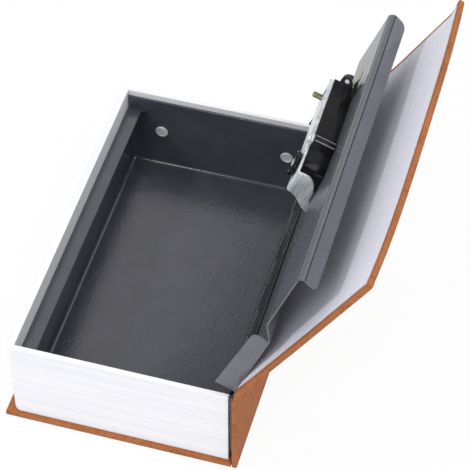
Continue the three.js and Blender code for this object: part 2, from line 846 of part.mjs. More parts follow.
function latchBolt() {
  const x = -lock_distance - link_rest;
  const half = link_width / 2;
  const side = bolt_width / 2;
  const tip_x = -lock_distance - bolt_reach;
  const bolt_bottom = bolt_top - bolt_thickness;
  const joggle_x = -lock_distance - bolt_joggle;
  const low_x = joggle_x - bolt_joggle_run;
  const bar = block(x - half, x + half, link_start, bolt_centre + side, link_bottom, link_top);
  const web_x = x - half / 2;
  const web_end = web_x + bolt_web;
  const web = block(web_x, web_end, bolt_centre - side, bolt_centre + side, link_bottom, case_top);
  const arm_outline = [
    [web_end, case_top],
    [joggle_x, case_top],
    [low_x, bolt_top],
    [tip_x, bolt_top],
    [tip_x, bolt_top - bolt_tip_thickness],
    [tip_x + bolt_bevel_run, bolt_bottom],
    [low_x + bolt_thickness / 4, bolt_bottom],
    [joggle_x + bolt_thickness / 4, case_top - bolt_thickness],
    [web_end, case_top - bolt_thickness],
  ];
  const arm = alongY(arm_outline, bolt_centre - side, bolt_centre + side);
  const slot_half = crank_pin_radius + running_gap;
  const slot_end = crank + slot_half;
  const slot_low = link_bottom - cut_overrun;
  const slot_high = link_top + cut_overrun;
  const crank_slot = block(x - slot_half, x + slot_half, crank_y - slot_half, slot_end, slot_low, slot_high);
  return shaped([bar, web, arm], [crank_slot]);
}

function latchPin() {
  const high = link_bottom - running_gap;
  const x = -lock_distance - link_rest;
  return rodZ(latch_pin_radius, x, bolt_centre, high - latch_pin_length, high);
}

function named(group, name, geometry, material) {
  const mesh = new THREE.Mesh(geometry, material);
  mesh.name = name;
  group.add(mesh);
  return mesh;
}

// The book body: covers, shell, box and the hinge's fixed half
const safe = new THREE.Group();
named(safe, "back_cover_board", backCoverBoard(), bookcloth);
named(safe, "spine_board", spineBoard(), bookcloth);
named(safe, "spine_hinge_cloth", spineHingeCloth(), bookcloth);
named(safe, "page_block_shell", pageBlockShell(), page_white);
named(safe, "steel_box", steelBox(), charcoal);
rivetPlaces().forEach(([x, side], i) => named(safe, `shell_rivet_${i + 1}`, shellRivet(x, side), page_white));
named(safe, "hinge_fixed_leaf", hingeFixedLeaf(), hinge_steel);
named(safe, "hinge_pin", hingePin(), hinge_steel);

// The front cover turns about the line where the spine's cloth meets it
const cover = new THREE.Group();
cover.name = "cover_group";
cover.position.set(spine_outer_x - cloth / 2, 0, book_height - cloth / 2);
cover.rotation.y = THREE.MathUtils.degToRad(cover_open_deg);
named(cover, "front_cover_board", frontCoverBoard(), bookcloth);
named(cover, "cover_hinge_cloth", coverHingeCloth(), bookcloth);
named(cover, "front_cover_lining", frontCoverLining(), lining_paper);
safe.add(cover);

// The lid turns about the hinge pin and carries the lock
const lid = new THREE.Group();
lid.name = "lid_group";
lid.position.set(hinge_x, 0, hinge_z);
lid.rotation.y = THREE.MathUtils.degToRad(lid_open_deg);
named(lid, "hinge_moving_leaf", hingeMovingLeaf(), hinge_steel);
named(lid, "steel_lid", steelLid(), lid_charcoal);
named(lid, "dial_case", dialCase(), black_plastic);
named(lid, "cam_case", camCase(), black_plastic);
named(lid, "lock_base_plate", lockBasePlate(), zinc);
platePlaces().forEach((place, i) => named(lid, `plate_screw_${i + 1}`, plateScrew(place), zinc));
named(lid, "case_end_pin", caseEndPin(), zinc);
named(lid, "lock_bezel", lockBezel(), chrome);
dialCentres().forEach((y, i) => named(lid, `dial_wheel_${i + 1}`, dialWheel(y), dial_black));
named(lid, "dial_shaft", dialShaft(), zinc);
named(lid, "dial_detent_spring", dialDetentSpring(), zinc);
safe.add(lid);

// The knob's pieces turn together
const turner = new THREE.Group();
turner.name = "knob_group";
named(turner, "knob", knob(), chrome);
named(turner, "knob_spindle", spindle(), zinc);
named(turner, "drive_cam", driveCam(), zinc);
named(turner, "spindle_retainer", spindleRetainer(), black_plastic);
lid.add(turner);

// The bolt and its pin slide together
const slider = new THREE.Group();
slider.name = "latch_group";
named(slider, "latch_bolt", latchBolt(), yellow_zinc);
named(slider, "latch_pin", latchPin(), yellow_zinc);
lid.add(slider);

export default safe;
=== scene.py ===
"""Looks of the book diversion safe: cloth boards, moulded page edge, coated box and lid, plated lock."""

import json
import math
from contextlib import contextmanager

import bmesh
import bpy
from mathutils import Matrix, Vector


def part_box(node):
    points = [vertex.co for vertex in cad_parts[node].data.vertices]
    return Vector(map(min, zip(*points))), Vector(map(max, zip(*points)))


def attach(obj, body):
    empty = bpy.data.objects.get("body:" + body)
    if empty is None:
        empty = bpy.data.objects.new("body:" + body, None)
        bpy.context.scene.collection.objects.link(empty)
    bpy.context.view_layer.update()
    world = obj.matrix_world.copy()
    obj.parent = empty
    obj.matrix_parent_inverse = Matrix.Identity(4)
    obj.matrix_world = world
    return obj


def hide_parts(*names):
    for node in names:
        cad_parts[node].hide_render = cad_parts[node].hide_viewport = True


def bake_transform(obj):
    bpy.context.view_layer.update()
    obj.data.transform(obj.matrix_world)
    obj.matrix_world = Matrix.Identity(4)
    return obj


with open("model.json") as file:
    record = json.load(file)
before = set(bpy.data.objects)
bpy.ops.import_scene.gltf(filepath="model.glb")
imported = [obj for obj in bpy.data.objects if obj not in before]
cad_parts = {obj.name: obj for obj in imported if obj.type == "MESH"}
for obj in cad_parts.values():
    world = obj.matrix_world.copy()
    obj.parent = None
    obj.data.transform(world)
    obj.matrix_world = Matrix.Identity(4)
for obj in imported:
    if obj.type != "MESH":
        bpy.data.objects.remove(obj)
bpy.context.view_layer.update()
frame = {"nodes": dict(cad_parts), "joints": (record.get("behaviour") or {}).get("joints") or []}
nodes = frame["nodes"]
joints = {joint["name"]: joint for joint in frame["joints"]}
scene = bpy.context.scene
MM = 0.001

# The camera stands in front of the tail edge and looks down on the open book
LOOK_AT = Vector((22.803, 28.652, 25.0)) * MM
CAMERA_AZIMUTH = math.radians(15.966)
CAMERA_HEIGHT = math.radians(49.129)
CAMERA_DISTANCE = 1064.34 * MM
CAMERA_LENS = 163.49
SENSOR_WIDTH = 36
VIEW_START, VIEW_END = 0.05, 20


def place_camera():
    """A long lens, so the book's edges run nearly parallel."""
    back = Vector(
        (
            math.sin(CAMERA_AZIMUTH) * math.cos(CAMERA_HEIGHT),
            -math.cos(CAMERA_AZIMUTH) * math.cos(CAMERA_HEIGHT),
            math.sin(CAMERA_HEIGHT),
        )
    )
    data = bpy.data.cameras.new("camera")
    data.sensor_width = SENSOR_WIDTH
    data.lens = CAMERA_LENS
    data.clip_start = VIEW_START
    data.clip_end = VIEW_END
    camera = bpy.data.objects.new("camera", data)
    scene.collection.objects.link(camera)
    camera.location = LOOK_AT + back * CAMERA_DISTANCE
    camera.rotation_mode = "QUATERNION"
    camera.rotation_quaternion = (-back).to_track_quat("-Z", "Y")
    scene.camera = camera


place_camera()

# Materials


def linear(code):
    """An sRGB hex colour as linear red, green, blue and alpha."""
    parts = [int(code[i : i + 2], 16) / 255 for i in (0, 2, 4)]
    return [c / 12.92 if c <= 0.04045 else ((c + 0.055) / 1.055) ** 2.4 for c in parts] + [1.0]


def add(tree, kind, sockets=None, **settings):
    """Adds one node with its settings; each socket takes a value or another node's output."""
    made = tree.nodes.new(kind)
    for name, value in settings.items():
        setattr(made, name, value)
    for name, value in (sockets or {}).items():
        if isinstance(value, bpy.types.NodeSocket):
            tree.links.new(value, made.inputs[name])
        else:
            made.inputs[name].default_value = value
    return made


def start_material(name):
    made = bpy.data.materials.new(name)
    made.use_nodes = True
    made.node_tree.nodes.clear()
    return made, made.node_tree


def shade(tree, sockets):
    """Ends a material in its shader and output."""
    shader = add(tree, "ShaderNodeBsdfPrincipled", sockets)
    add(tree, "ShaderNodeOutputMaterial", {"Surface": shader.outputs["BSDF"]})


def object_space(tree, scale, turn=0.0):
    """Object coordinates stretched to so many waves to the metre, turned about Y for a piece that leans."""
    coordinates = add(tree, "ShaderNodeTexCoord").outputs["Object"]
    upright = add(tree, "ShaderNodeMapping", {"Vector": coordinates, "Rotation": (0, turn, 0)})
    stretched = add(tree, "ShaderNodeMapping", {"Vector": upright.outputs["Vector"], "Scale": scale})
    return stretched.outputs["Vector"]


def grey(value):
    """A grey given as a plain value, for stops that steer roughness."""
    return value, value, value, 1


def blotches(tree, vector, detail, *stops):
    """Noise read through a colour ramp, for uneven colour or sheen."""
    noise = add(tree, "ShaderNodeTexNoise", {"Vector": vector, "Scale": 1.0, "Detail": detail})
    ramp = add(tree, "ShaderNodeValToRGB", {"Fac": noise.outputs["Fac"]})
    ramp.color_ramp.elements[0].position = stops[0][0]
    ramp.color_ramp.elements[0].color = stops[0][1]
    ramp.color_ramp.elements[1].position = stops[-1][0]
    ramp.color_ramp.elements[1].color = stops[-1][1]
    for position, colour in stops[1:-1]:
        ramp.color_ramp.elements.new(position).color = colour
    return ramp.outputs["Color"]


def fine_relief(tree, vector, detail, strength, depth_mm):
    """The shading normal of a noise relief, its depth in millimetres."""
    grain = add(tree, "ShaderNodeTexNoise", {"Vector": vector, "Scale": 1.0, "Detail": detail})
    relief = add(
        tree,
        "ShaderNodeBump",
        {"Height": grain.outputs["Fac"], "Strength": strength, "Distance": depth_mm * MM},
    )
    return relief.outputs["Normal"]


def starched_buckram(name, turn=0.0):
    """Woven book cloth glued over board: its threads run both ways and give a dry, slightly streaky brown."""
    made, tree = start_material(name)
    # Threads are 0.45 mm apart on the real cloth and are drawn 0.9 mm apart, so that they show
    across, along, wear_scale = 1100, 150, 40
    warp = add(
        tree,
        "ShaderNodeTexNoise",
        {"Vector": object_space(tree, (across, along, across), turn), "Scale": 1.0, "Detail": 2.0},
    )
    weft = add(
        tree,
        "ShaderNodeTexNoise",
        {"Vector": object_space(tree, (along, across, along), turn), "Scale": 1.0, "Detail": 2.0},
    )
    weave = add(
        tree,
        "ShaderNodeMath",
        {0: warp.outputs["Fac"], 1: weft.outputs["Fac"]},
        operation="ADD",
    )
    thread = add(tree, "ShaderNodeValToRGB", {"Fac": weave.outputs["Value"]})
    thread.color_ramp.elements[0].position = 0.75
    thread.color_ramp.elements[0].color = linear("9c5b33")
    thread.color_ramp.elements[1].position = 1.0
    thread.color_ramp.elements[1].color = linear("b37045")
    wear = blotches(
        tree,
        object_space(tree, (wear_scale, wear_scale, wear_scale), turn),
        4.0,
        (0.35, linear("e2e2e2")),
        (0.7, linear("ffffff")),
    )
    colour = add(
        tree,
        "ShaderNodeMix",
        {"Factor": 0.5, "A": thread.outputs["Color"], "B": wear},
        data_type="RGBA",
        blend_type="MULTIPLY",
    )
    relief = add(
        tree,
        "ShaderNodeBump",
        {"Height": weave.outputs["Value"], "Strength": 0.35, "Distance": 0.12 * MM},
    )
    shade(
        tree,
        {
            "Base Color": colour.outputs["Result"],
            "Roughness": 0.8,
            "IOR": 1.5,
            "Specular IOR Level": 0.25,
            "Normal": relief.outputs["Normal"],
        },
    )
    return made


def moulded_page_edge():
    """White polystyrene moulded with leaf lines: cool white with faint blue shade painted between the leaves.
    """
    made, tree = start_material("moulded_polystyrene_page_edge")
    # Painted blue shade lies in bands like the leaf lines: a millimetre or so apart and much longer than they
    # are high
    colour = blotches(
        tree,
        object_space(tree, (9, 9, 620)),
        3.0,
        (0.3, linear("edeef5")),
        (0.62, linear("f9f9fb")),
    )
    normal = fine_relief(tree, object_space(tree, (14, 14, 900)), 2.0, 0.25, 0.08)
    shade(tree, {"Base Color": colour, "Roughness": 0.5, "IOR": 1.55, "Normal": normal})
    return made


def end_paper(turn):
    """Pale lining paper: matt, with soft fibre mottling."""
    made, tree = start_material("pale_end_paper")
    # Fibre mottling is about 2 mm across
    colour = blotches(
        tree,
        object_space(tree, (480, 480, 480), turn),
        5.0,
        (0.3, linear("e2e2ef")),
        (0.7, linear("ecebf5")),
    )
    normal = fine_relief(tree, object_space(tree, (2200, 900, 2200), turn), 3.0, 0.12, 0.05)
    shade(tree, {"Base Color": colour, "Roughness": 0.75, "IOR": 1.45, "Normal": normal})
    return made


def powder_coat(name, dark, light, roughness, relief_mm, turn=0.0):
    """Charcoal powder coat on sheet steel: glossy, its grain breaking each reflection's edge into sparks."""
    made, tree = start_material(name)
    colour = blotches(
        tree,
        object_space(tree, (90, 90, 90), turn),
        4.0,
        (0.3, linear(dark)),
        (0.75, linear(light)),
    )
    # The peel's waves are 2.4 mm across, and the 0.3 mm grain on them is drawn at 0.9 mm
    peel = add(
        tree,
        "ShaderNodeTexNoise",
        {"Vector": object_space(tree, (420, 420, 420), turn), "Scale": 1.0, "Detail": 1.0},
    )
    grain = add(
        tree,
        "ShaderNodeTexNoise",
        {"Vector": object_space(tree, (1100, 1100, 1100), turn), "Scale": 1.0, "Detail": 1.0},
    )
    grain_share = 0.8
    skin = add(
        tree,
        "ShaderNodeMath",
        {0: grain.outputs["Fac"], 1: grain_share, 2: peel.outputs["Fac"]},
        operation="MULTIPLY_ADD",
    )
    relief = add(
        tree,
        "ShaderNodeBump",
        {"Height": skin.outputs["Value"], "Strength": 1.0, "Distance": relief_mm * MM},
    )
    gloss = add(
        tree,
        "ShaderNodeMapRange",
        {
            "Value": grain.outputs["Fac"],
            "From Min": 0.3,
            "From Max": 0.7,
            "To Min": roughness - 0.02,
            "To Max": roughness + 0.03,
        },
    )
    shade(
        tree,
        {
            "Base Color": colour,
            "Roughness": gloss.outputs["Result"],
            "IOR": 1.55,
            "Specular IOR Level": 0.8,
            "Normal": relief.outputs["Normal"],
        },
    )
    return made


def moulded_abs(name, dark, light, turn=0.0):
    """Moulded ABS: a soft polish with faint flow marks."""
    made, tree = start_material(name)
    colour = blotches(
        tree,
        object_space(tree, (300, 300, 300), turn),
        6.0,
        (0.4, linear(dark)),
        (0.72, linear(light)),
    )
    polish = blotches(tree, object_space(tree, (90, 90, 90), turn), 3.0, (0.3, grey(0.13)), (0.7, grey(0.19)))
    # The mould's spark-eroded grain is 0.3 mm across and is drawn at 0.6 mm
    normal = fine_relief(tree, object_space(tree, (1700, 1700, 1700), turn), 2.0, 0.1, 0.05)
    shade(
        tree,
        {
            "Base Color": colour,
            "Roughness": polish,
            "IOR": 1.53,
            "Specular IOR Level": 0.24,
            "Normal": normal,
        },
    )
    return made


def bright_metal(name, stops, roughness, turn=0.0, metallic=1.0, drawn=(260, 120, 260)):
    """Plated or tumbled metal: bright, its crystals and streaks drifting in tint and gloss; on the zinc plate
    the streaks also paint highlights along its bend.
    """
    made, tree = start_material(name)
    colour = blotches(tree, object_space(tree, drawn, turn), 4.0, *stops)
    gloss = blotches(
        tree,
        object_space(tree, (420, 420, 420), turn),
        3.0,
        (0.3, grey(roughness - 0.05)),
        (0.7, grey(roughness + 0.12)),
    )
    # Rolling marks are 0.2 mm apart and are drawn at 0.5 mm
    normal = fine_relief(tree, object_space(tree, (2000, 160, 2000), turn), 2.0, 0.15, 0.04)
    shade(tree, {"Base Color": colour, "Metallic": metallic, "Roughness": gloss, "Normal": normal})
    return made


LID_TURN = math.radians(-joints["lid_hinge"]["range_deg"][0])
COVER_TURN = math.radians(-joints["cover_hinge"]["range_deg"][0])

cloth = starched_buckram("starched_buckram")
cover_cloth = starched_buckram("starched_buckram_cover", -COVER_TURN)
page_edge = moulded_page_edge()
paper = end_paper(-COVER_TURN)
box_coat = powder_coat("powder_coated_box_steel", "3f404a", "474854", 0.19, 0.055)
lid_coat = powder_coat("powder_coated_lid_steel", "565860", "5e6069", 0.27, 0.004, -LID_TURN)
hinge_coat = powder_coat("powder_coated_hinge_steel", "232429", "2c2d33", 0.28, 0.06)
lock_abs = moulded_abs("moulded_abs_lock_case", "08080b", "0f0f15", -LID_TURN)
# Light grey ABS for the shoulder's lips: painted highlights along the case's edges
painted_highlight_abs = moulded_abs("painted_highlight_lip", "7c7d85", "9a9ba2", -LID_TURN)
dial_abs = moulded_abs("moulded_abs_dial", "101013", "1b1b1f", -LID_TURN)
dial_white = moulded_abs("white_enamel_numbers", "dcdcda", "ececea", -LID_TURN)
# The plate's streaks run along its bend: partly drawing streaks, partly painted highlights of the bend
bright_zinc = bright_metal(
    "bright_zinc_plate",
    [(0.3, linear("adb7c1")), (0.5, linear("d9dfe4")), (0.68, linear("f5f7f8"))],
    0.32,
    -LID_TURN,
    0.5,
    (70, 300, 520),
)
yellow_zinc = bright_metal(
    "yellow_passivated_zinc",
    [(0.25, linear("7f7a58")), (0.5, linear("a09c82")), (0.75, linear("949a8a"))],
    0.28,
    -LID_TURN,
)
chrome = bright_metal(
    "nickel_chrome_plate",
    [(0.3, linear("c4c8cc")), (0.7, linear("dcdfe2"))],
    0.1,
    -LID_TURN,
)
rivet_aluminium = bright_metal(
    "tumbled_aluminium_rivet",
    [(0.3, linear("dcdde1")), (0.7, linear("f0f0f3"))],
    0.5,
    0.0,
    0.2,
)

# Mesh helpers

# Edges that turn more than this are seams, points nearer than this many metres are one point,
# and faces that turn less than this are one face
SEAM_ANGLE = math.radians(34)
SAME_POINT = 2e-6
FLAT_ANGLE = math.radians(0.6)


def in_lid(distance, y, height):
    """A point of the lid: its distance from the hinge pin and height above it, with the lid closed."""
    return on_joint("lid_hinge", distance, y, height)


def in_cover(distance, y, height):
    """A point of the front cover: its distance from the turning line and height above it when closed."""
    return on_joint("cover_hinge", distance, y, height)


def on_joint(name, distance, y, height):
    """A point that turns with a joint, given in millimetres as it lies with the joint closed."""
    joint = joints[name]
    turn = Matrix.Rotation(math.radians(-joint["range_deg"][0]), 4, "Y")
    return Vector(joint["pos_m"]) + turn @ (Vector((-distance, y, height)) * MM)


@contextmanager
def reworked(mesh):
    """Opens a mesh for editing and writes the result back to it."""
    work = bmesh.new()
    work.from_mesh(mesh)
    yield work
    work.to_mesh(mesh)
    work.free()


def finish_normals(mesh, sharp_degrees=32):
    """Turns all faces outward and smooths them, with sharp edges where the shape turns."""
    with reworked(mesh) as work:
        bmesh.ops.recalc_face_normals(work, faces=work.faces)
        if work.calc_volume(signed=True) < 0:
            bmesh.ops.reverse_faces(work, faces=work.faces)
        for face in work.faces:
            face.smooth = True
        for edge in work.edges:
            edge.smooth = edge.is_manifold and edge.calc_face_angle() < math.radians(sharp_degrees)


def merge_doubles(mesh):
    """Joins the points that lie on each other."""
    with reworked(mesh) as work:
        bmesh.ops.remove_doubles(work, verts=work.verts, dist=SAME_POINT)


def close_ends(mesh):
    """Fills a mesh's open ends and turns its faces outward."""
    with reworked(mesh) as work:
        bmesh.ops.holes_fill(work, edges=[edge for edge in work.edges if edge.is_boundary])
        bmesh.ops.recalc_face_normals(work, faces=work.faces)


def link(name, mesh, body, material, replaced=()):
    """Adds a finished mesh as a piece with its material and body, and hides the nodes that it stands for."""
    made = bpy.data.objects.new(name, mesh)
    scene.collection.objects.link(made)
    mesh.materials.clear()
    mesh.materials.append(material)
    if body:
        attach(made, body)
    if replaced:
        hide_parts(*replaced)
    return made


def evaluated(source):
    """The plain mesh that an object's modifiers give; the object and its own mesh go."""
    graph = bpy.context.evaluated_depsgraph_get()
    mesh = bpy.data.meshes.new_from_object(source.evaluated_get(graph))
    blank = source.data
    bpy.data.objects.remove(source)
    bpy.data.meshes.remove(blank)
    return mesh


def merged_copy(node):
    """A copy of a CAD node's mesh with its loose triangles joined and flat faces made whole."""
    mesh = nodes[node].data.copy()
    with reworked(mesh) as work:
        bmesh.ops.remove_doubles(work, verts=work.verts, dist=SAME_POINT)
        bmesh.ops.dissolve_limit(
            work,
            angle_limit=FLAT_ANGLE,
            verts=work.verts,
            edges=work.edges,
            delimit={"NORMAL"},
        )
    return mesh


def softened(name, node, body, finish, radius, steps):
    """A CAD piece with its edges broken, as bending, moulding or cloth leaves them."""
    source = bpy.data.objects.new(name + "_source", merged_copy(node))
    scene.collection.objects.link(source)
    bevel = source.modifiers.new("broken_edges", "BEVEL")
    bevel.width = radius * MM
    bevel.segments = steps
    bevel.limit_method = "ANGLE"
    bevel.angle_limit = SEAM_ANGLE
    bevel.miter_outer = "MITER_ARC"
    mesh = evaluated(source)
    mesh.name = name
    finish_normals(mesh)
    link(name, mesh, body, finish, [node])


# Two faces larger than this, in square millimetres, meet in a bend; a smaller one is a cut edge
BEND_FACE = 30


def folded(name, node, body, finish, outer, inner, least, bend=None):
    """A sheet steel piece: cut edges broken a little, its bends and the fillets in its inner seams wider.

    Edges shorter than the least length stay sharp.
    """
    mesh = merged_copy(node)
    bend = bend or outer
    widest = max(outer, inner, bend)
    with reworked(mesh) as work:
        weight = work.edges.layers.float.new("bevel_weight_edge")
        for edge in work.edges:
            turn = edge.calc_face_angle_signed(0)
            if abs(turn) > SEAM_ANGLE and edge.calc_length() > least * MM:
                wide = all(face.calc_area() > BEND_FACE * MM * MM for face in edge.link_faces)
                edge[weight] = (inner if turn < 0 else bend if wide else outer) / widest
    source = bpy.data.objects.new(name + "_source", mesh)
    scene.collection.objects.link(source)
    bevel = source.modifiers.new("bends", "BEVEL")
    bevel.width = widest * MM
    bevel.segments = 3
    bevel.limit_method = "WEIGHT"
    bevel.use_clamp_overlap = False
    mesh = evaluated(source)
    mesh.name = name
    finish_normals(mesh)
    link(name, mesh, body, finish, [node])


def closed_box(node, joint_name):
    """A node's low and high corners as distance, Y and height in millimetres, with its joint closed."""
    joint = joints[joint_name]
    back = Matrix.Rotation(math.radians(joint["range_deg"][0]), 4, "Y")
    points = [(back @ (v.co - Vector(joint["pos_m"]))) / MM for v in nodes[node].data.vertices]
    low = [min(p[axis] for p in points) for axis in range(3)]
    high = [max(p[axis] for p in points) for axis in range(3)]
    return Vector((-high[0], low[1], low[2])), Vector((-low[0], high[1], high[2]))


def turned(name, centre, rows, count, lobes=0, lobe_depth=0.0):
    """A turned piece on an axis square to the lid, from rows of radius, height and share of lobing.

    Rows that end where they start make a ring, and others get a cap at each end.
    """
    loops = []
    for radius, height, lobing in rows:
        loop = []
        for k in range(count):
            angle = 2 * math.pi * k / count
            wave = 0.5 - 0.5 * math.cos(lobes * angle)
            r = radius - lobe_depth * lobing * wave
            across, y = r * math.cos(angle), r * math.sin(angle)
            loop.append(in_lid(centre[0] + across, centre[1] + y, height))
        loops.append(loop)
    mesh = grid_mesh(name, loops, closed=True)
    if rows[0] == rows[-1]:
        merge_doubles(mesh)
    else:
        close_ends(mesh)
    return mesh


def finish_node(node, material):
    """Gives a CAD node its material and leaves its mesh alone."""
    mesh = nodes[node].data
    mesh.materials.clear()
    mesh.materials.append(material)


def grid_mesh(name, rows, closed=False):
    """A quad skin over rows of points; closed joins each row's ends."""
    mesh = bpy.data.meshes.new(name)
    width = len(rows[0])
    points = [p for row in rows for p in row]
    faces = []
    for i in range(len(rows) - 1):
        for j in range(width if closed else width - 1):
            k = (j + 1) % width
            faces.append((i * width + j, i * width + k, (i + 1) * width + k, (i + 1) * width + j))
    mesh.from_pydata(points, [], faces)
    return mesh


# The cloth-covered boards

BOARD_EDGE = 0.6

softened("back_cover_cloth_board", "back_cover_board", "base", cloth, BOARD_EDGE, 4)
softened("spine_cloth_board", "spine_board", "base", cloth, BOARD_EDGE, 4)

# The front board's reach from its turning line, and the heights of its faces when the cover is closed
COVER_FAR = 114.6
COVER_NEAR = 12.0
COVER_INNER, COVER_OUTER = -2.1, 0.4
COVER_CORNER = 2.2
HALF_LENGTH = 90
TURN_IN = 2.4
RECESS = 0.5
RECESS_WALL = 0.3

# The bow: how far out it goes, where along the cover's length it centres, and where it sets in
BOW_AT_ENDS, BOW_RISE, BOW_AT_HEAD = 0.3, 2.5, 3.1
BOW_CENTRE, BOW_REACH, BOW_POWER = 6, 92, 3.2
BOW_START, BOW_RUN = 10, 50
HEAD_START, HEAD_RUN = 60, 30
FORE_START, FORE_RUN = 104, 10


def smooth_step(value):
    value = min(max(value, 0.0), 1.0)
    return value * value * (3 - 2 * value)


def cover_bow(distance, y):
    """How far the open cover bows outward: most at the middle of its fore edge, and at its head edge."""
    along = BOW_AT_ENDS + BOW_RISE * (1 - min(abs((y - BOW_CENTRE) / BOW_REACH), 1) ** BOW_POWER)
    head = smooth_step((y - HEAD_START) / HEAD_RUN) * (1 - smooth_step((distance - FORE_START) / FORE_RUN))
    return smooth_step((distance - BOW_START) / BOW_RUN) * (along + (BOW_AT_HEAD - along) * head)


def on_cover(distance, y, height):
    """A point of the front cover as it stands, with its bow."""
    return in_cover(distance, y, height + cover_bow(distance, y))


def spread(start, end, step):
    """Even stations from start to end, no further apart than a step."""
    count = max(1, math.ceil(abs(end - start) / step))
    return [start + (end - start) * i / count for i in range(count + 1)]


def plan_corner(distance, y):
    """Rounds the board's two fore corners in plan."""
    du = distance - (COVER_FAR - COVER_CORNER)
    dy = abs(y) - (HALF_LENGTH - COVER_CORNER)
    if du <= 0 or dy <= 0:
        return distance, y
    pull = max(du, dy) / math.hypot(du, dy)
    side = 1 if y > 0 else -1
    return COVER_FAR - COVER_CORNER + du * pull, side * (HALF_LENGTH - COVER_CORNER + dy * pull)


# Stations are close together in the band at the board's edges and wide apart on its face
EDGE_BAND, EDGE_STEP = 1.9, 0.7
FACE_MARGIN, FACE_STEP_OUT, FACE_STEP_ALONG = 4, 3.5, 4.3
CLOTH_EDGE = 0.55
HAIR, SAME_LEVEL = 0.1, 0.01


def front_board():
    """The front board: a fine slab, its cloth edges rounded, let in for the end paper, then bowed."""
    half = HALF_LENGTH
    step_in = TURN_IN + RECESS_WALL
    us = spread(COVER_NEAR, COVER_FAR - FACE_MARGIN, FACE_STEP_OUT)
    us += [COVER_FAR - step_in, COVER_FAR - TURN_IN]
    us += spread(COVER_FAR - EDGE_BAND, COVER_FAR, EDGE_STEP)
    ys = spread(half - EDGE_BAND, half, EDGE_STEP)[::-1] + [half - TURN_IN, half - step_in]
    ys += spread(half - FACE_MARGIN, FACE_MARGIN - half, FACE_STEP_ALONG)
    ys += [step_in - half, TURN_IN - half] + spread(EDGE_BAND - half, -half, EDGE_STEP)
    points, faces = [], []
    for level in (COVER_INNER, COVER_OUTER):
        for u in us:
            points += [Vector((-a, b, level)) * MM for a, b in (plan_corner(u, y) for y in ys)]
    columns, rows = len(ys), len(us)
    layer = columns * rows

    def at(level, i, j):
        return level * layer + i * columns + j

    for i in range(rows - 1):
        for j in range(columns - 1):
            faces.append((at(0, i, j), at(0, i + 1, j), at(0, i + 1, j + 1), at(0, i, j + 1)))
            faces.append((at(1, i, j), at(1, i, j + 1), at(1, i + 1, j + 1), at(1, i + 1, j)))
    for i in range(rows - 1):
        for j in (0, columns - 1):
            faces.append((at(0, i, j), at(1, i, j), at(1, i + 1, j), at(0, i + 1, j)))
    for j in range(columns - 1):
        for i in (0, rows - 1):
            faces.append((at(0, i, j), at(0, i, j + 1), at(1, i, j + 1), at(1, i, j)))
    blank = bpy.data.meshes.new("front_board_blank")
    blank.from_pydata(points, [], faces)
    close_ends(blank)
    source = bpy.data.objects.new("front_board_source", blank)
    scene.collection.objects.link(source)
    bevel = source.modifiers.new("cloth_edges", "BEVEL")
    bevel.width = CLOTH_EDGE * MM
    bevel.segments = 4
    bevel.limit_method = "ANGLE"
    bevel.angle_limit = math.radians(50)
    mesh = evaluated(source)
    for vertex in mesh.vertices:
        u, y, height = -vertex.co.x / MM, vertex.co.y / MM, vertex.co.z / MM
        inside = u < COVER_FAR - TURN_IN - HAIR and abs(y) < half - TURN_IN - HAIR
        if inside and height < COVER_INNER + SAME_LEVEL:
            height += RECESS
        vertex.co = on_cover(u, y, height)
    finish_normals(mesh, 40)
    link("front_cover_cloth_board", mesh, "cover", cover_cloth, ["front_cover_board"])


front_board()

# The joint's cloth runs off the spine board, round the turning line and onto the front board
JOINT_START, JOINT_END = 3.4, 12.4
JOINT_STEPS = 26
JOINT_RIM, JOINT_RIM_RUN = 4.5, 1.2
JOINT_PROUD = 0.4
TURN_REACH = 1.6
THIN_CLOTH, THIN_GAIN = 0.4, 1.3
ROLLED_CLOTH, ROLLED_GAIN = 0.9, 1.2
CREASE_DEPTH, CREASE_PLACE, CREASE_WIDTH = 0.35, 5, 2.2
HEM_ROUND, HEM_RUN, HEM_ROOM = 0.25, 0.5, 0.05


def past_turning(run):
    """How much of the cover's turn a point follows, from its distance past the turning line."""
    return smooth_step((run + TURN_REACH) / (2 * TURN_REACH))


def joint_line(share, height):
    """A point across the cloth joint at rest: share 0 lies on the spine, 1 on the cover's board."""
    turning = Vector(joints["cover_hinge"]["pos_m"])
    run = share * (JOINT_START + JOINT_END) - JOINT_START
    side = Vector((-height * MM, 0, 0)) + turning + Vector((0, 0, run * MM))
    return side.lerp(in_cover(run, 0, -height), past_turning(run))


def joint_depth(share, y):
    """How deep the joint is under its outer face: thin cloth, rolled as thick as the boards at both ends."""
    rolled = smooth_step((abs(y) - (HALF_LENGTH - JOINT_RIM)) / JOINT_RIM_RUN)
    thin = THIN_CLOTH + THIN_GAIN * max(share - 0.2, 0) / 0.8
    full = ROLLED_CLOTH + ROLLED_GAIN * smooth_step((share - 0.1) / 0.25)
    return thin + (full - thin) * rolled


def joint_crease(run):
    """The shallow crease pressed along the joint, where the cloth bends."""
    return CREASE_DEPTH * math.exp(-(((run - CREASE_PLACE) / CREASE_WIDTH) ** 2))


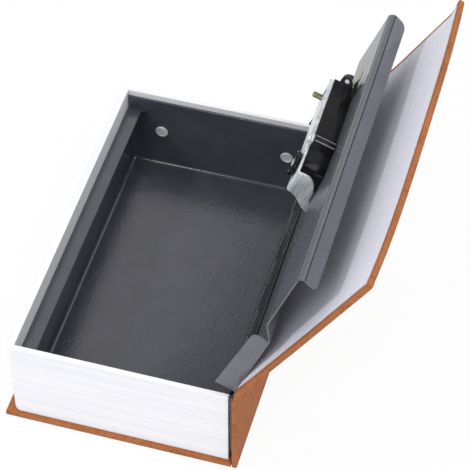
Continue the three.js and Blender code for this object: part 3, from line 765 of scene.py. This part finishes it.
def joint_cloth():
    """The cloth across the joint, its two hems rounded."""
    half = HALF_LENGTH - HEM_ROOM
    # Stations are close together near both hems
    ys = [-half, 0.5 - half] + spread(1 - half, 6 - half, 1) + spread(8 - half, half - 8, 8)
    ys += spread(half - 6, half - 1, 1) + [half - 0.5, half]
    rows = []
    for i in range(JOINT_STEPS + 1):
        share = i / JOINT_STEPS
        run = share * (JOINT_START + JOINT_END) - JOINT_START
        outer, under = [], []
        for y in ys:
            hem = HEM_ROUND * (1 - smooth_step((half - abs(y)) / HEM_RUN))
            top = joint_line(share, hem + joint_crease(run) - JOINT_PROUD)
            low = joint_line(share, joint_depth(share, y) - hem)
            outer.append(Vector((top.x, y * MM, top.z)))
            under.append(Vector((low.x, y * MM, low.z)))
        rows.append(outer + under[::-1])
    mesh = grid_mesh("joint_cloth", rows, closed=True)
    close_ends(mesh)
    finish_normals(mesh, 50)
    made = link("joint_cloth", mesh, None, cloth)
    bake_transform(made)
    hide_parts("spine_hinge_cloth", "cover_hinge_cloth")


joint_cloth()

# The end paper lies in the cover's recess, from its fore edge to the spine, over the joint
PAPER_GAP = 0.45
PAPER_FAR = COVER_FAR - TURN_IN - PAPER_GAP
PAPER_END = HALF_LENGTH - TURN_IN - PAPER_GAP
PAPER_LEVEL = 1.72
PAPER_BULK = 0.42
PAPER_LIFT, LIFT_RUN = 0.1, 1.5
# Depths under the cover's turning line, at distances past it
PAPER_DIP = [(-1.6, 0.52), (-0.8, 0.56), (0, 0.62), (0.8, 0.72), (1.8, 0.9), (3.5, 1.2), (6, 1.5), (9, 1.66)]


def lining_paper():
    """One sheet whose lower end dips with the joint."""
    reach = spread(12, PAPER_FAR - 1, 3.4) + [PAPER_FAR - 0.4, PAPER_FAR]
    levels = PAPER_DIP + [(distance, PAPER_LEVEL) for distance in reach]
    across = [-PAPER_END, 0.4 - PAPER_END] + spread(1 - PAPER_END, PAPER_END - 1, 4)
    across += [PAPER_END - 0.4, PAPER_END]
    turning = Vector(joints["cover_hinge"]["pos_m"])
    rows = []
    for thickness in (0.0, PAPER_BULK):
        for distance, depth in levels:
            row = []
            for y in across:
                # The cut edges of the sheet lift a little
                lift = PAPER_LIFT * (1 - smooth_step((PAPER_END - abs(y)) / LIFT_RUN))
                height = -(depth + thickness + lift)
                side = turning + Vector((height * MM, 0, distance * MM))
                point = side.lerp(on_cover(distance, y, height), past_turning(distance))
                row.append(Vector((point.x, y * MM, point.z)))
            rows.append(row)
    count = len(levels)
    ring = rows[:count] + rows[count:][::-1]
    mesh = grid_mesh("front_cover_end_paper", ring + [ring[0]])
    merge_doubles(mesh)
    close_ends(mesh)
    finish_normals(mesh, 50)
    made = link("front_cover_end_paper", mesh, None, paper)
    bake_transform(made)
    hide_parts("front_cover_lining")


lining_paper()

# The moulded page block

SHELL_LOW, SHELL_TOP = 2.5, 51.6
SHELL_LEFT, SHELL_RIGHT = -54.2, 52.8
SHELL_END = 88
SHELL_CORNER = 4
FORE_WALL, END_WALL = 3.7, 2
END_STEPS, CORNER_STEPS, FORE_STEPS = 26, 10, 40
# One leaf line: shares of its pitch, and how deep each is as a share of its depth
LEAF_PITCH = 1.15
LEAF_DEPTH = 0.1
LEAF_SHARES = ((0, 0), (0.62, 0.02), (0.82, 1), (0.94, 0.3))
# The rounded foot and rim: distance from the end, and how far the wall is set in there
FOOT_ROUND = ((0, 0.5), (0.3, 0.42), (0.55, 0.05))
RIM_ROUND = ((0.45, 0.0), (0.2, 0.06), (0.05, 0.22), (0, 0.45))
FIRST_LEAF, LAST_LEAF = 0.9, 1.4
WANDER_RUN = 3


def shell_loop(inset):
    """The shell's outline in plan, its outer side set in by a leaf line's depth."""
    outer = []
    left, right, end = SHELL_LEFT + inset, SHELL_RIGHT, SHELL_END - inset
    r = SHELL_CORNER
    for i in range(END_STEPS):
        outer.append((right + (left + r - right) * i / END_STEPS, end))
    for i in range(CORNER_STEPS + 1):
        a = math.pi / 2 * (1 + i / CORNER_STEPS)
        outer.append((left + r + r * math.cos(a), end - r + r * math.sin(a)))
    for i in range(1, FORE_STEPS):
        outer.append((left, (end - r) * (1 - 2 * i / FORE_STEPS)))
    for i in range(CORNER_STEPS + 1):
        a = math.pi * (1 + i / (2 * CORNER_STEPS))
        outer.append((left + r + r * math.cos(a), -end + r + r * math.sin(a)))
    for i in range(1, END_STEPS + 1):
        outer.append((left + r + (right - left - r) * i / END_STEPS, -end))
    wall_x, wall_y = SHELL_LEFT + FORE_WALL, SHELL_END - END_WALL
    return outer, [(right, -wall_y), (wall_x, -wall_y), (wall_x, wall_y), (right, wall_y)]


def leaf_wave(x, y):
    """How far the leaf lines wander up and down along the shell: two slow waves, a few centimetres long."""
    return 0.22 * math.sin(0.045 * x + 0.4) + 0.18 * math.sin(0.11 * y + 0.03 * x)


def page_block():
    """The white shell, its leaf lines cut as fine wandering grooves."""
    levels = [(SHELL_LOW + up, inset) for up, inset in FOOT_ROUND]
    height = SHELL_LOW + FIRST_LEAF
    while height < SHELL_TOP - LAST_LEAF:
        levels += [(height + step * LEAF_PITCH, depth * LEAF_DEPTH) for step, depth in LEAF_SHARES]
        height += LEAF_PITCH
    levels += [(SHELL_TOP - down, inset) for down, inset in RIM_ROUND]
    rows = []
    for z, inset in levels:
        outer, inner = shell_loop(inset)
        room = min(1, (z - SHELL_LOW) / WANDER_RUN, (SHELL_TOP - z) / WANDER_RUN)
        row = [Vector((x, y, z + leaf_wave(x, y) * room)) * MM for x, y in outer]
        rows.append(row + [Vector((x, y, z)) * MM for x, y in inner])
    mesh = grid_mesh("moulded_page_block", rows, closed=True)
    with reworked(mesh) as work:
        for rim in (min, max):
            level = rim(v.co.z for v in work.verts)
            edge_ring = [
                e for e in work.edges if e.is_boundary and all(abs(v.co.z - level) < 1e-6 for v in e.verts)
            ]
            bmesh.ops.triangle_fill(work, edges=edge_ring, use_beauty=True)
    finish_normals(mesh, 40)
    link("moulded_page_block", mesh, "base", page_edge, ["page_block_shell"])


page_block()

# The steel box, the hinge and the lid

HINGE_EDGE = 0.3


def hinge_leaf(name, node, body):
    folded(name, node, body, hinge_coat, HINGE_EDGE, HINGE_EDGE, HINGE_EDGE)


folded("folded_steel_box", "steel_box", "base", box_coat, outer=0.3, inner=2.2, least=2.5)
folded("folded_steel_lid", "steel_lid", "lid", lid_coat, outer=0.2, inner=0.5, least=1.0)
hinge_leaf("piano_hinge_box_leaf", "hinge_fixed_leaf", "base")
hinge_leaf("piano_hinge_lid_leaf", "hinge_moving_leaf", "lid")
finish_node("hinge_pin", rivet_aluminium)


def start_tree(name, *sizes):
    """A geometry tree with its named sizes: the tree, its input node and each size's identifier."""
    tree = bpy.data.node_groups.new(name, "GeometryNodeTree")
    tree.interface.new_socket("Geometry", in_out="INPUT", socket_type="NodeSocketGeometry")
    made = [tree.interface.new_socket(size, in_out="INPUT", socket_type="NodeSocketFloat") for size in sizes]
    tree.interface.new_socket("Geometry", in_out="OUTPUT", socket_type="NodeSocketGeometry")
    return tree, add(tree, "NodeGroupInput"), [size.identifier for size in made]


def finish_tree(tree, geometry, material):
    """Ends a geometry tree in real geometry with its material."""
    real = add(tree, "GeometryNodeRealizeInstances", {"Geometry": geometry})
    painted = add(
        tree,
        "GeometryNodeSetMaterial",
        {"Geometry": real.outputs["Geometry"], "Material": material},
    )
    add(tree, "NodeGroupOutput", {"Geometry": painted.outputs["Geometry"]})


def grown(name, tree, places, sizes):
    """The plain mesh that a geometry tree makes on some places; sizes are in millimetres by identifier."""
    source = bpy.data.objects.new(name + "_source", places)
    scene.collection.objects.link(source)
    modifier = source.modifiers.new(name, "NODES")
    modifier.node_group = tree
    for identifier, size in sizes.items():
        modifier[identifier] = size * MM
    mesh = evaluated(source)
    mesh.name = name
    finish_normals(mesh)
    return mesh


RIVETS = [f"shell_rivet_{number}" for number in (1, 2, 3, 4)]
HEAD_RADIUS = 3.4
RIM_RADIUS = 0.55
HEAD_SEAT = 0.9


def rivet_places():
    """A point in the middle of each rivet's head, with the way that the head faces."""
    places = bpy.data.meshes.new("rivet_places")
    centres, normals = [], []
    for rivet in RIVETS:
        low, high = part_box(rivet)
        side = 1 if low.y > 0 else -1
        face_y = low.y + HEAD_SEAT * MM if side > 0 else high.y - HEAD_SEAT * MM
        centres.append(((low.x + high.x) / 2, face_y, (low.z + high.z) / 2))
        normals.append((0, -side, 0))
    places.from_pydata(centres, [], [])
    facing = places.attributes.new("facing", "FLOAT_VECTOR", "POINT")
    for i, normal in enumerate(normals):
        facing.data[i].vector = normal
    return places


def rivet_heads():
    """Each rivet's flat head with its raised rim, set out by a geometry tree."""
    tree, entry, (head_radius, rim_radius) = start_tree("rivet_heads", "Head radius", "Rim radius")
    path_radius = add(
        tree,
        "ShaderNodeMath",
        {0: entry.outputs["Head radius"], 1: entry.outputs["Rim radius"]},
        operation="SUBTRACT",
    )
    path = add(
        tree,
        "GeometryNodeCurvePrimitiveCircle",
        {"Resolution": 48, "Radius": path_radius.outputs["Value"]},
    )
    section = add(
        tree,
        "GeometryNodeCurvePrimitiveCircle",
        {"Resolution": 12, "Radius": entry.outputs["Rim radius"]},
    )
    ring = add(
        tree,
        "GeometryNodeCurveToMesh",
        {"Curve": path.outputs["Curve"], "Profile Curve": section.outputs["Curve"]},
    )
    face = add(
        tree,
        "GeometryNodeMeshCylinder",
        {
            "Vertices": 48,
            "Fill Segments": 4,
            "Radius": path_radius.outputs["Value"],
            "Depth": entry.outputs["Rim radius"],
        },
    )
    head = add(tree, "GeometryNodeJoinGeometry")
    for part in (ring, face):
        tree.links.new(part.outputs["Mesh"], head.inputs["Geometry"])
    facing = add(tree, "GeometryNodeInputNamedAttribute", {"Name": "facing"}, data_type="FLOAT_VECTOR")
    turned_out = add(
        tree,
        "FunctionNodeAlignEulerToVector",
        {"Vector": facing.outputs["Attribute"]},
        axis="Z",
    )
    placed = add(
        tree,
        "GeometryNodeInstanceOnPoints",
        {
            "Points": entry.outputs["Geometry"],
            "Instance": head.outputs["Geometry"],
            "Rotation": turned_out.outputs["Rotation"],
        },
    )
    finish_tree(tree, placed.outputs["Instances"], rivet_aluminium)
    sizes = {head_radius: HEAD_RADIUS, rim_radius: RIM_RADIUS}
    mesh = grown("wall_rivet_heads", tree, rivet_places(), sizes)
    link("wall_rivet_heads", mesh, "base", rivet_aluminium, RIVETS)


rivet_heads()

# The lock under the lid

softened("lock_dial_case", "dial_case", "lid", lock_abs, 0.4, 3)
softened("lock_cam_case", "cam_case", "lid", lock_abs, 0.5, 3)
folded(
    "lock_back_plate",
    "lock_base_plate",
    "lid",
    bright_zinc,
    outer=0.25,
    inner=0.8,
    least=0.4,
    bend=1.7,
)
softened("back_plate_screw", "plate_screw_1", "lid", bright_zinc, 0.12, 2)
softened("case_pin", "case_end_pin", "lid", bright_zinc, 0.25, 3)
finish_node("lock_bezel", chrome)
for number in (1, 2, 3):
    softened(f"code_dial_{number}", f"dial_wheel_{number}", f"dial_{number}", dial_abs, 0.15, 2)
finish_node("dial_shaft", bright_zinc)
finish_node("dial_detent_spring", bright_zinc)
softened("turning_knob", "knob", "knob", chrome, 0.5, 3)
softened("knob_shaft", "knob_spindle", "knob", bright_zinc, 0.12, 2)
finish_node("drive_cam", bright_zinc)
softened("sliding_bolt", "latch_bolt", "latch", yellow_zinc, 0.18, 2)

# The case's shoulder: its distance from the hinge pin, and the two edges of it along Y
SHOULDER_REACH = 81.85
SHOULDER_EDGES = (10.5, 7.5)
LIP_RADIUS = 0.3
LIP_SINK = 0.1


def case_lips():
    """Fine lips along both edges of the case's shoulder, light grey: painted highlights of those edges."""
    low, high = closed_box("cam_case", "lid_hinge")
    ends = [(low.z + 0.05, 0.4), (low.z + 0.25, 1), (high.z - 0.25, 1), (high.z - 0.05, 0.4)]
    rows = [(LIP_RADIUS * share, height, 0) for height, share in ends]
    for number, y in enumerate(SHOULDER_EDGES, 1):
        mesh = turned(f"case_lip_{number}", (SHOULDER_REACH - LIP_SINK, y), rows, 12)
        finish_normals(mesh)
        link(mesh.name, mesh, "lid", painted_highlight_abs)


case_lips()

# The nut's bore as a radius, the stations round it, and its lobes
NUT_BORE = 2.1
NUT_STEPS, NUT_LOBES, LOBE_DEPTH = 120, 12, 0.5


def retainer_nut():
    """The black nut that holds the shaft: lobed round its rim, dished, with a collar round the shaft."""
    low, high = closed_box("spindle_retainer", "lid_hinge")
    centre = ((low.x + high.x) / 2, (low.y + high.y) / 2)
    r = (high.x - low.x) / 2
    under, top = low.z, high.z
    rows = [
        (NUT_BORE, top, 0),
        (r - 1.2, top, 0),
        (r - 0.5, top - 0.1, 0.5),
        (r - 0.15, top - 0.45, 1),
        (r, top - 0.9, 1),
        (r, under + 0.5, 1),
        (r - 0.15, under + 0.2, 1),
        (r - 0.45, under, 0.6),
        (r - 1.1, under, 0.2),
        (r - 1.4, under + 0.2, 0),
        (r - 1.6, under + 0.75, 0),
        (r - 2.1, under + 0.95, 0),
        (NUT_BORE + 1.1, under + 0.95, 0),
        (NUT_BORE + 0.95, under + 0.7, 0),
        (NUT_BORE + 0.8, under + 0.35, 0),
        (NUT_BORE + 0.5, under + 0.2, 0),
        (NUT_BORE + 0.1, under + 0.25, 0),
        (NUT_BORE, under + 0.4, 0),
    ]
    mesh = turned("shaft_retainer", centre, rows + [rows[0]], NUT_STEPS, NUT_LOBES, LOBE_DEPTH)
    finish_normals(mesh, 40)
    link("shaft_retainer", mesh, "knob", lock_abs, ["spindle_retainer"])


retainer_nut()

# The pin stands further out of the lock than its solid
PIN_END = 1.7
PIN_STEPS, PIN_STATION = 36, 0.09
THREAD_PITCH, THREAD_DEPTH = 0.7, 0.22
PIN_CHAMFER, CHAMFER_RUN = 0.35, 0.4


def threaded_pin():
    """The bolt's pin, its end cut with a thread that winds round it."""
    low, high = closed_box("latch_pin", "lid_hinge")
    low.z -= PIN_END
    centre = ((low.x + high.x) / 2, (low.y + high.y) / 2)
    r = (high.x - low.x) / 2
    loops = []
    for height in spread(low.z, high.z, PIN_STATION):
        loop = []
        from_end = min(height - low.z, high.z - height)
        end = PIN_CHAMFER * (1 - smooth_step(from_end / CHAMFER_RUN))
        for k in range(PIN_STEPS):
            angle = 2 * math.pi * k / PIN_STEPS
            wave = 0.5 - 0.5 * math.cos(2 * math.pi * height / THREAD_PITCH + angle)
            own = r - end - THREAD_DEPTH * wave
            across, y = own * math.cos(angle), own * math.sin(angle)
            loop.append(in_lid(centre[0] + across, centre[1] + y, height))
        loops.append(loop)
    mesh = grid_mesh("bolt_pin", loops, closed=True)
    close_ends(mesh)
    finish_normals(mesh, 60)
    link("bolt_pin", mesh, "latch", yellow_zinc, ["latch_pin"])


threaded_pin()

NUMBER_HEIGHT = 2.6
PAINT_THICKNESS = 0.05
NUMBERS = 10


def number_ring():
    """A geometry tree that sets plain numbers 0 to 9 round a dial's axis, and its sizes' identifiers."""
    tree, entry, sizes = start_tree("dial_numbers", "Number height", "Dial radius", "Paint thickness")
    out = add(tree, "ShaderNodeCombineXYZ", {"Z": entry.outputs["Dial radius"]})
    joined = add(tree, "GeometryNodeJoinGeometry")
    for digit in range(NUMBERS):
        text = add(
            tree,
            "GeometryNodeStringToCurves",
            {"String": str(digit), "Size": entry.outputs["Number height"]},
            align_x="CENTER",
            align_y="MIDDLE",
        )
        real = add(tree, "GeometryNodeRealizeInstances", {"Geometry": text.outputs["Curve Instances"]})
        filled = add(tree, "GeometryNodeFillCurve", {"Curve": real.outputs["Geometry"]})
        thick = add(
            tree,
            "GeometryNodeExtrudeMesh",
            {
                "Mesh": filled.outputs["Mesh"],
                "Offset Scale": entry.outputs["Paint thickness"],
                "Individual": False,
            },
        )
        under = add(tree, "GeometryNodeFlipFaces", {"Mesh": filled.outputs["Mesh"]})
        both = add(tree, "GeometryNodeJoinGeometry")
        for part in (thick, under):
            tree.links.new(part.outputs["Mesh"], both.inputs["Geometry"])
        plate = add(
            tree,
            "GeometryNodeMergeByDistance",
            {"Geometry": both.outputs["Geometry"], "Distance": SAME_POINT},
        )
        upright = add(
            tree,
            "GeometryNodeTransform",
            {
                "Geometry": plate.outputs["Geometry"],
                "Translation": out.outputs["Vector"],
                "Rotation": (0, 0, math.pi / 2),
            },
        )
        placed = add(
            tree,
            "GeometryNodeTransform",
            {"Geometry": upright.outputs["Geometry"], "Rotation": (0, 2 * math.pi * digit / NUMBERS, 0)},
        )
        tree.links.new(placed.outputs["Geometry"], joined.inputs["Geometry"])
    finish_tree(tree, joined.outputs["Geometry"], dial_white)
    return tree, sizes


def dial_numbers():
    """The painted numbers of each dial."""
    tree, (height, radius, bulk) = number_ring()
    for number in (1, 2, 3):
        low, high = closed_box(f"dial_wheel_{number}", "lid_hinge")
        name = f"dial_numbers_{number}"
        blank = bpy.data.meshes.new(name + "_blank")
        sizes = {height: NUMBER_HEIGHT, radius: (high.x - low.x) / 2, bulk: PAINT_THICKNESS}
        mesh = grown(name, tree, blank, sizes)
        turn = Matrix.Rotation(LID_TURN, 4, "Y")
        mesh.transform(Matrix.Translation(in_lid(*(low + high) / 2)) @ turn)
        link(name, mesh, f"dial_{number}", dial_white)


dial_numbers()

# Floor and light

FLOOR_SIZE, FLOOR_DROP = 6, 0.0002
# How much of the floor a camera or a mirror sees as pure white; the rest keeps the shadow
FLOOR_WHITE = 0.93
# What the world lends to matt surfaces, and what mirrors see of the ceiling
AIR = 0.6
CEILING = 0.25
HORIZON_END, CEILING_START = 0.2, 0.6


def pale_floor():
    """A plain white table that keeps a faint shadow."""
    bpy.ops.mesh.primitive_plane_add(size=FLOOR_SIZE, location=(0, 0, -FLOOR_DROP))
    floor = bpy.context.object
    floor.name = "studio_floor"
    made, tree = start_material("studio_white")
    white = add(tree, "ShaderNodeBsdfDiffuse", {"Color": linear("f2f2f4")})
    glow = add(tree, "ShaderNodeEmission", {"Color": (1, 1, 1, 1), "Strength": 1.0})
    rays = add(tree, "ShaderNodeLightPath")
    seen = add(
        tree,
        "ShaderNodeMath",
        {0: rays.outputs["Is Camera Ray"], 1: rays.outputs["Is Glossy Ray"]},
        operation="MAXIMUM",
    )
    share = add(tree, "ShaderNodeMath", {0: seen.outputs["Value"], 1: FLOOR_WHITE}, operation="MULTIPLY")
    mixed = add(
        tree,
        "ShaderNodeMixShader",
        {0: share.outputs["Value"], 1: white.outputs["BSDF"], 2: glow.outputs["Emission"]},
    )
    add(tree, "ShaderNodeOutputMaterial", {"Surface": mixed.outputs["Shader"]})
    floor.data.materials.append(made)


def studio_world():
    """White all round for the camera; mirrors see the same white low down and a dim ceiling above it."""
    world = bpy.data.worlds.new("studio")
    world.use_nodes = True
    tree = world.node_tree
    tree.nodes.clear()
    rays = add(tree, "ShaderNodeLightPath")
    mirror = add(
        tree,
        "ShaderNodeMath",
        {0: rays.outputs["Is Glossy Ray"], 1: rays.outputs["Is Transmission Ray"]},
        operation="MAXIMUM",
    )
    around = add(tree, "ShaderNodeTexCoord").outputs["Generated"]
    direction = add(tree, "ShaderNodeSeparateXYZ", {"Vector": around})
    ceiling = add(
        tree,
        "ShaderNodeMapRange",
        {
            "Value": direction.outputs["Z"],
            "From Min": HORIZON_END,
            "From Max": CEILING_START,
            "To Min": 1.0,
            "To Max": CEILING,
        },
        interpolation_type="SMOOTHSTEP",
    )
    fill = add(tree, "ShaderNodeMix", {0: mirror.outputs["Value"], 2: AIR, 3: ceiling.outputs["Result"]})
    level = add(tree, "ShaderNodeMix", {0: rays.outputs["Is Camera Ray"], 2: fill.outputs[0], 3: 1.0})
    light = add(tree, "ShaderNodeBackground", {"Color": (1, 1, 1, 1), "Strength": level.outputs[0]})
    add(tree, "ShaderNodeOutputWorld", {"Surface": light.outputs["Background"]})
    scene.world = world


def soft_lamp(name, place, size, power, aim=LOOK_AT):
    """A square lamp: its place and side in metres, its power in watts."""
    data = bpy.data.lights.new(name, "AREA")
    data.size = size
    data.energy = power
    lamp = bpy.data.objects.new(name, data)
    scene.collection.objects.link(lamp)
    lamp.location = place
    lamp.rotation_mode = "QUATERNION"
    lamp.rotation_quaternion = (aim - Vector(place)).to_track_quat("-Z", "Y")


pale_floor()
studio_world()
soft_lamp("key_from_the_left", (-0.75, -0.55, 0.95), 0.14, 3.8)
soft_lamp("front_lamp", (-0.1, -0.9, 1.0), 0.25, 2.0)
soft_lamp("lamp_from_the_right", (0.75, -0.25, 1.05), 0.8, 4.5)
soft_lamp("overhead_softbox", (0.2, 0.65, 0.9), 1.0, 2.2, Vector((0.2, 0.65, 0.0)))

scene.view_settings.view_transform = "Standard"
